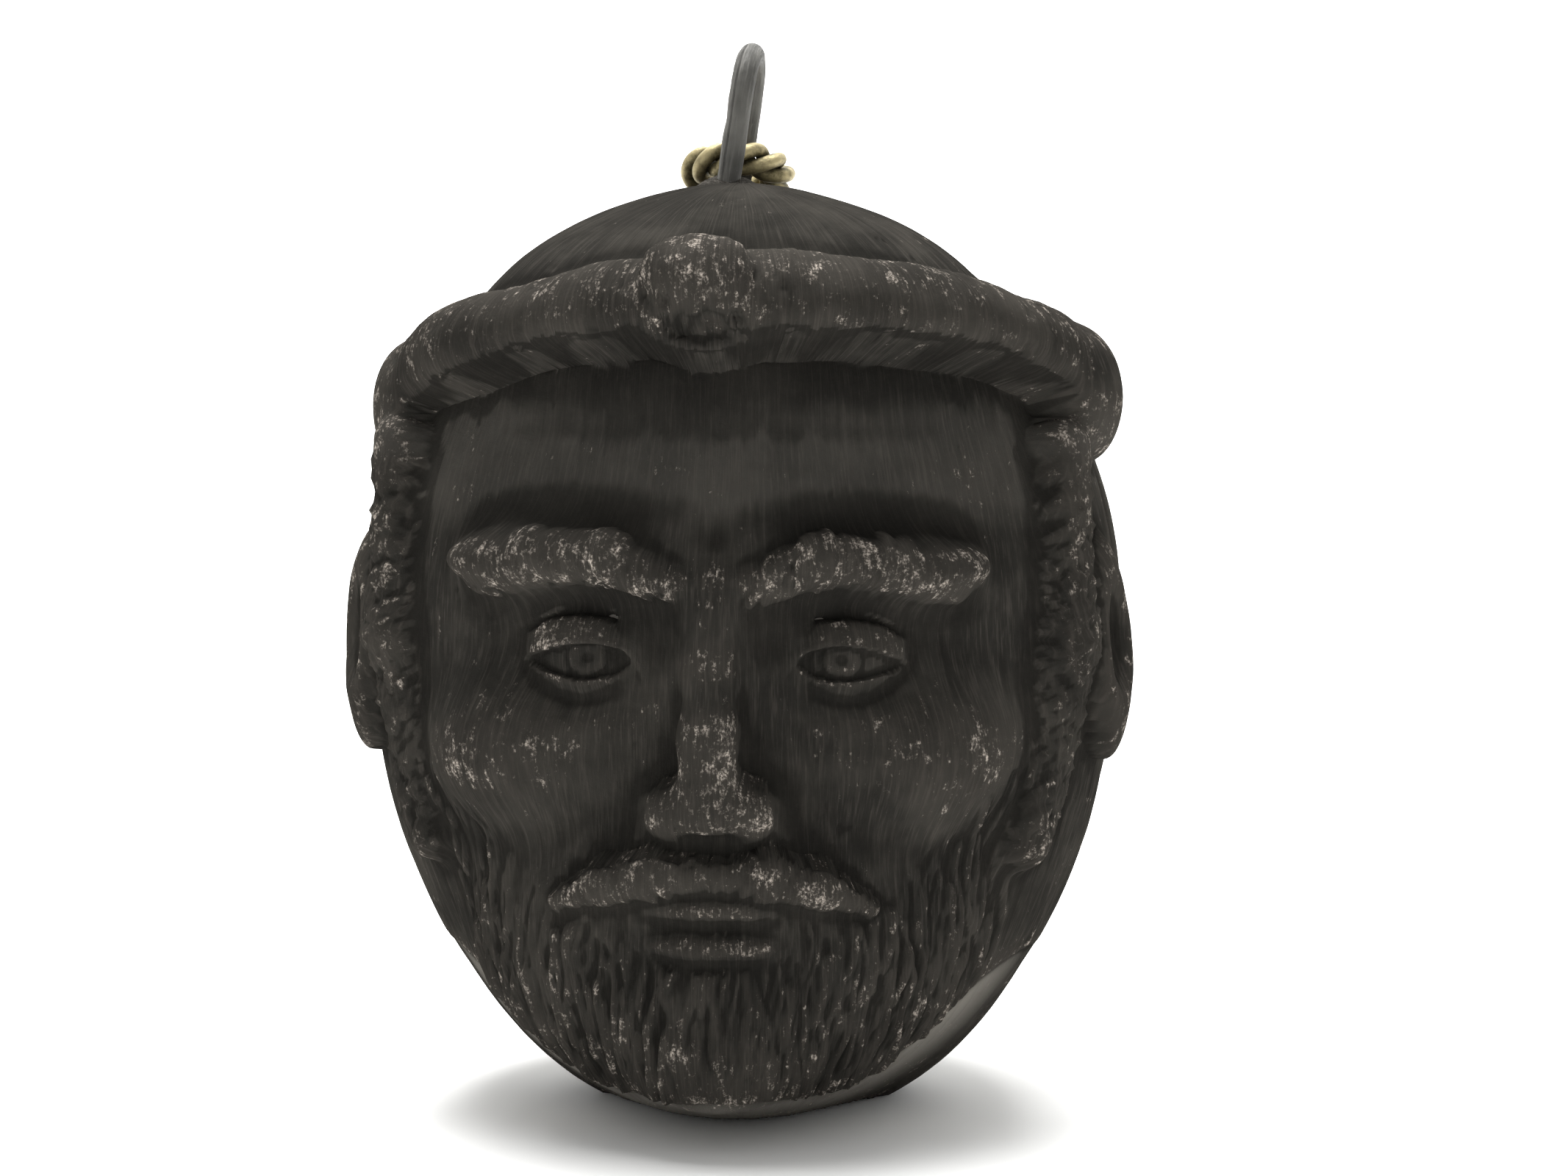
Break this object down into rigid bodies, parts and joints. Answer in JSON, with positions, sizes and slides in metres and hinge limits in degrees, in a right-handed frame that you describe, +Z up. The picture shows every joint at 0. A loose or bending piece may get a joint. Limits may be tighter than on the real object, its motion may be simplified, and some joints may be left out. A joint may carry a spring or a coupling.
{
  "type": "daruma head bell",
  "caption": "Small cast-iron bell shaped as a hooded, bearded head, with a wire hanging loop, a twisted brass ring, a sound slit under the chin and a loose pellet.",
  "frame": {"origin": "on the table plane, under the middle of the head's bounding box", "axes": "+Z up through the crown; the face looks along -Y; +X is to the right as seen from the front"},
  "size_m": [0.036, 0.0303, 0.0484],
  "materials": {
    "iron_face": "worn black patina",
    "iron_back": "brushed dark patina",
    "iron_wire": "worn dark grey",
    "washer": "dull",
    "pellet": "dull",
    "brass": "tarnished bright"
  },
  "bodies": {
    "head": {"face_shell": "iron_face", "back_shell": "iron_back", "hanging_loop": "iron_wire", "crown_washer": "washer"},
    "ring": {"ring_strand_1": "brass", "ring_strand_2": "brass", "ring_strand_3": "brass"},
    "pellet": {"bell_pellet": "pellet"}
  },
  "joints": [
    {"name": "ring_swing", "type": "hinge", "parent": "head", "child": "ring", "pos_m": [-0.00065, 0.0018, 0.0432], "axis": [1, 0, 0], "range_deg": [0, 55]},
    {"name": "pellet_rattle", "type": "slide", "parent": "head", "child": "pellet", "axis": [0, 0, 1], "range_m": [0, 0.027]}
  ]
}
